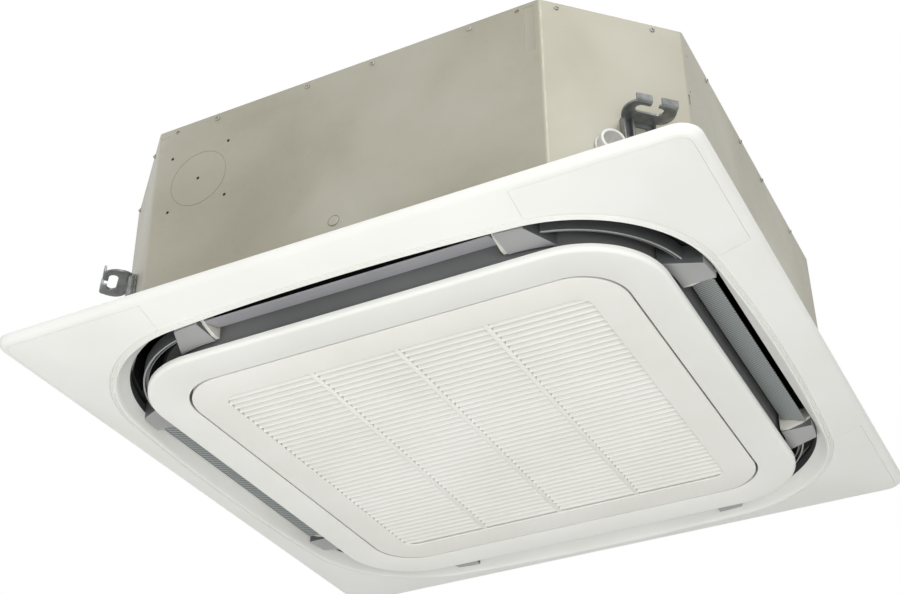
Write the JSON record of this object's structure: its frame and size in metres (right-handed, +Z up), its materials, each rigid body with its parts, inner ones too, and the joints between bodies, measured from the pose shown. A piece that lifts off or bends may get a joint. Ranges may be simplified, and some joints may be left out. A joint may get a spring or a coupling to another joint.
{
  "type": "ceiling cassette air conditioner",
  "caption": "Square ceiling cassette air conditioner: octagonal sheet-metal body on hanger brackets, with a round-flow outlet panel, tilting flaps and a hinged suction grille.",
  "frame": {"origin": "centre of the unit in the plane of the finished ceiling, where the panel's rim meets it", "axes": "+Z up along the fan's axis, +Y towards the side where the suction grille is hinged, +X towards the right-hand side"},
  "size_m": [0.95, 0.95, 0.342],
  "materials": {
    "galvanised": "galvanised sheet, satin",
    "dark_foam": "moulded dark foam",
    "cream_foam": "moulded expanded polystyrene",
    "fins": "bare fin stock",
    "copper": "drawn copper tube",
    "pvc": "white PVC",
    "rubber": "moulded rubber",
    "zinc": "zinc-plated pressed steel",
    "motor_steel": "pressed steel can",
    "fan_plastic": "moulded fan plastic",
    "brass": "turned brass",
    "white_abs": "satin white moulding",
    "black_foam": "self-adhesive foam strip",
    "grey_abs": "matt grey moulding",
    "flap_abs": "matt grey moulding",
    "filter_mesh": "resin net in a moulded frame"
  },
  "bodies": {
    "body": {"casing_wrap": "galvanised", "casing_top": "galvanised", "foam_liner": "dark_foam", "drain_pan": "dark_foam", "heat_exchanger": "fins", "tube_plate_back": "copper", "tube_plate_right": "copper", "gas_pipe": "copper", "liquid_pipe": "copper", "pipe_cover": "galvanised", "drain_pump": "pvc", "float_switch": "pvc", "drain_socket": "pvc", "cable_grommet": "rubber", "hanger_front_right": "zinc", "hanger_back_right": "zinc", "hanger_back_left": "zinc", "hanger_front_left": "zinc", "fan_motor": "motor_steel", "bell_mouth": "white_abs", "control_box": "galvanised", "control_box_lid": "galvanised", "panel_seal": "black_foam", "panel_frame": "white_abs", "outlet_outer_ring": "grey_abs", "outlet_inner_ring": "grey_abs", "inner_panel": "white_abs", "corner_cover_front_right": "white_abs", "corner_cover_back_right": "white_abs", "corner_cover_back_left": "white_abs", "corner_cover_front_left": "white_abs", "corner_duct_front_right": "grey_abs", "corner_duct_back_right": "grey_abs", "corner_duct_back_left": "grey_abs", "corner_duct_front_left": "grey_abs", "flap_motor_front": "zinc", "flap_motor_right": "zinc", "flap_motor_back": "zinc", "flap_motor_left": "zinc", "flap_bearing_front_a": "cream_foam", "flap_bearing_front_b": "cream_foam", "flap_bearing_right_a": "cream_foam", "flap_bearing_right_b": "cream_foam", "flap_bearing_back_a": "cream_foam", "flap_bearing_back_b": "cream_foam", "flap_bearing_left_a": "cream_foam", "flap_bearing_left_b": "cream_foam", "grille_hinge_left": "white_abs", "grille_hinge_right": "white_abs"},
    "flap_front": {"flap_front": "flap_abs"},
    "flap_right": {"flap_right": "flap_abs"},
    "flap_back": {"flap_back": "flap_abs"},
    "flap_left": {"flap_left": "flap_abs"},
    "grille": {"suction_grille": "white_abs", "air_filter": "filter_mesh"},
    "latch_left": {"grille_latch_left": "white_abs"},
    "latch_right": {"grille_latch_right": "white_abs"},
    "fan": {"fan_impeller": "fan_plastic", "fan_nut": "brass"}
  },
  "joints": [
    {"name": "flap_front_tilt", "type": "hinge", "parent": "body", "child": "flap_front", "pos_m": [0, -0.384, -0.0045], "axis": [1, 0, 0], "range_deg": [-22, 45]},
    {"name": "flap_right_tilt", "type": "hinge", "parent": "body", "child": "flap_right", "pos_m": [0.384, 0, -0.0045], "axis": [0, 1, 0], "range_deg": [-22, 45]},
    {"name": "flap_back_tilt", "type": "hinge", "parent": "body", "child": "flap_back", "pos_m": [0, 0.384, -0.0045], "axis": [-1, 0, 0], "range_deg": [-22, 45]},
    {"name": "flap_left_tilt", "type": "hinge", "parent": "body", "child": "flap_left", "pos_m": [-0.384, 0, -0.0045], "axis": [0, -1, 0], "range_deg": [-22, 45]},
    {"name": "grille_swing", "type": "hinge", "parent": "body", "child": "grille", "pos_m": [0, 0.284, -0.0332], "axis": [1, 0, 0], "range_deg": [0, 90]},
    {"name": "latch_left_slide", "type": "slide", "parent": "grille", "child": "latch_left", "axis": [0, -1, 0], "range_m": [0, 0.0045]},
    {"name": "latch_right_slide", "type": "slide", "parent": "grille", "child": "latch_right", "axis": [0, -1, 0], "range_m": [0, 0.0045]},
    {"name": "fan_spin", "type": "hinge", "parent": "body", "child": "fan", "pos_m": [0, 0, 0.15], "axis": [0, 0, 1], "continuous": true}
  ]
}
